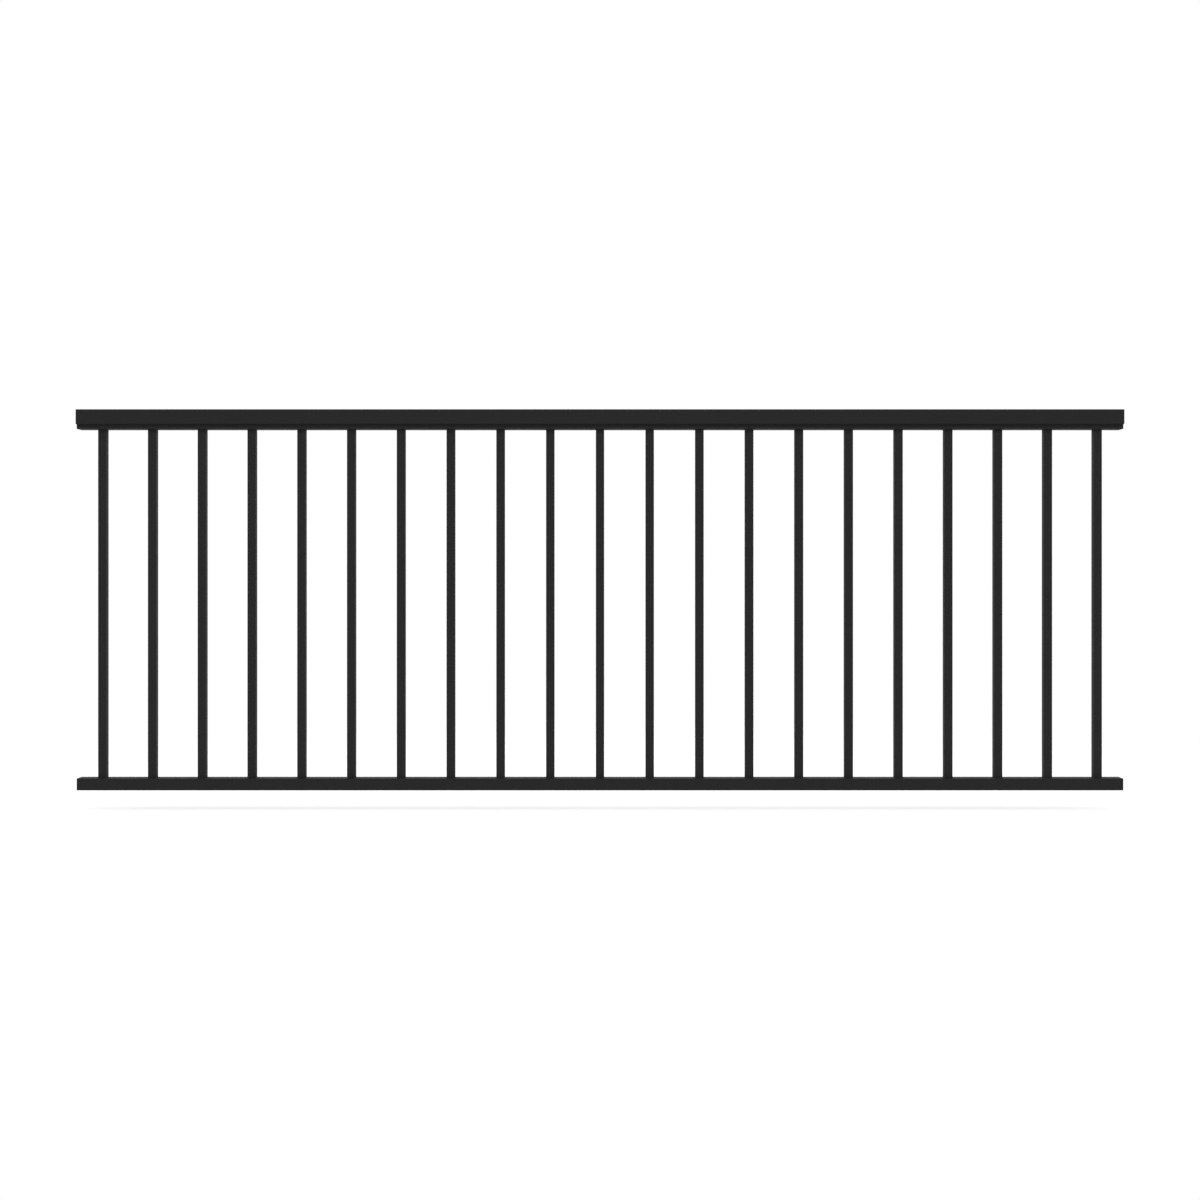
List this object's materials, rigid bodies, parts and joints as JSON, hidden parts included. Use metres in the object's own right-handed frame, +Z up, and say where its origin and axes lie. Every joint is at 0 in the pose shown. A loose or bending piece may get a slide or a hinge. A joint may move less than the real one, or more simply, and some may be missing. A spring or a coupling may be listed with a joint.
{
  "type": "deck railing section",
  "caption": "Straight deck railing section in matt black aluminium: a flat-topped cap rail on a slim channel, a matching bottom rail and evenly spaced square balusters.",
  "frame": {"origin": "on the bottom rail's left end face, at mid depth, level with the rail's underside", "axes": "+X along the rails from the left end to the right, +Y from the front to the back, +Z up"},
  "size_m": [2.384, 0.054, 0.8676],
  "materials": {
    "black_powder_coat": "matt",
    "mill_aluminium": "satin"
  },
  "bodies": {
    "root": {"cap_rail": "black_powder_coat", "upper_channel": "black_powder_coat", "bottom_rail": "black_powder_coat", "upper_lock_strip": "mill_aluminium", "lower_lock_strip": "mill_aluminium", "baluster_01": "black_powder_coat", "baluster_02": "black_powder_coat", "baluster_03": "black_powder_coat", "baluster_04": "black_powder_coat", "baluster_05": "black_powder_coat", "baluster_06": "black_powder_coat", "baluster_07": "black_powder_coat", "baluster_08": "black_powder_coat", "baluster_09": "black_powder_coat", "baluster_10": "black_powder_coat", "baluster_11": "black_powder_coat", "baluster_12": "black_powder_coat", "baluster_13": "black_powder_coat", "baluster_14": "black_powder_coat", "baluster_15": "black_powder_coat", "baluster_16": "black_powder_coat", "baluster_17": "black_powder_coat", "baluster_18": "black_powder_coat", "baluster_19": "black_powder_coat", "baluster_20": "black_powder_coat", "baluster_21": "black_powder_coat"}
  },
  "joints": []
}
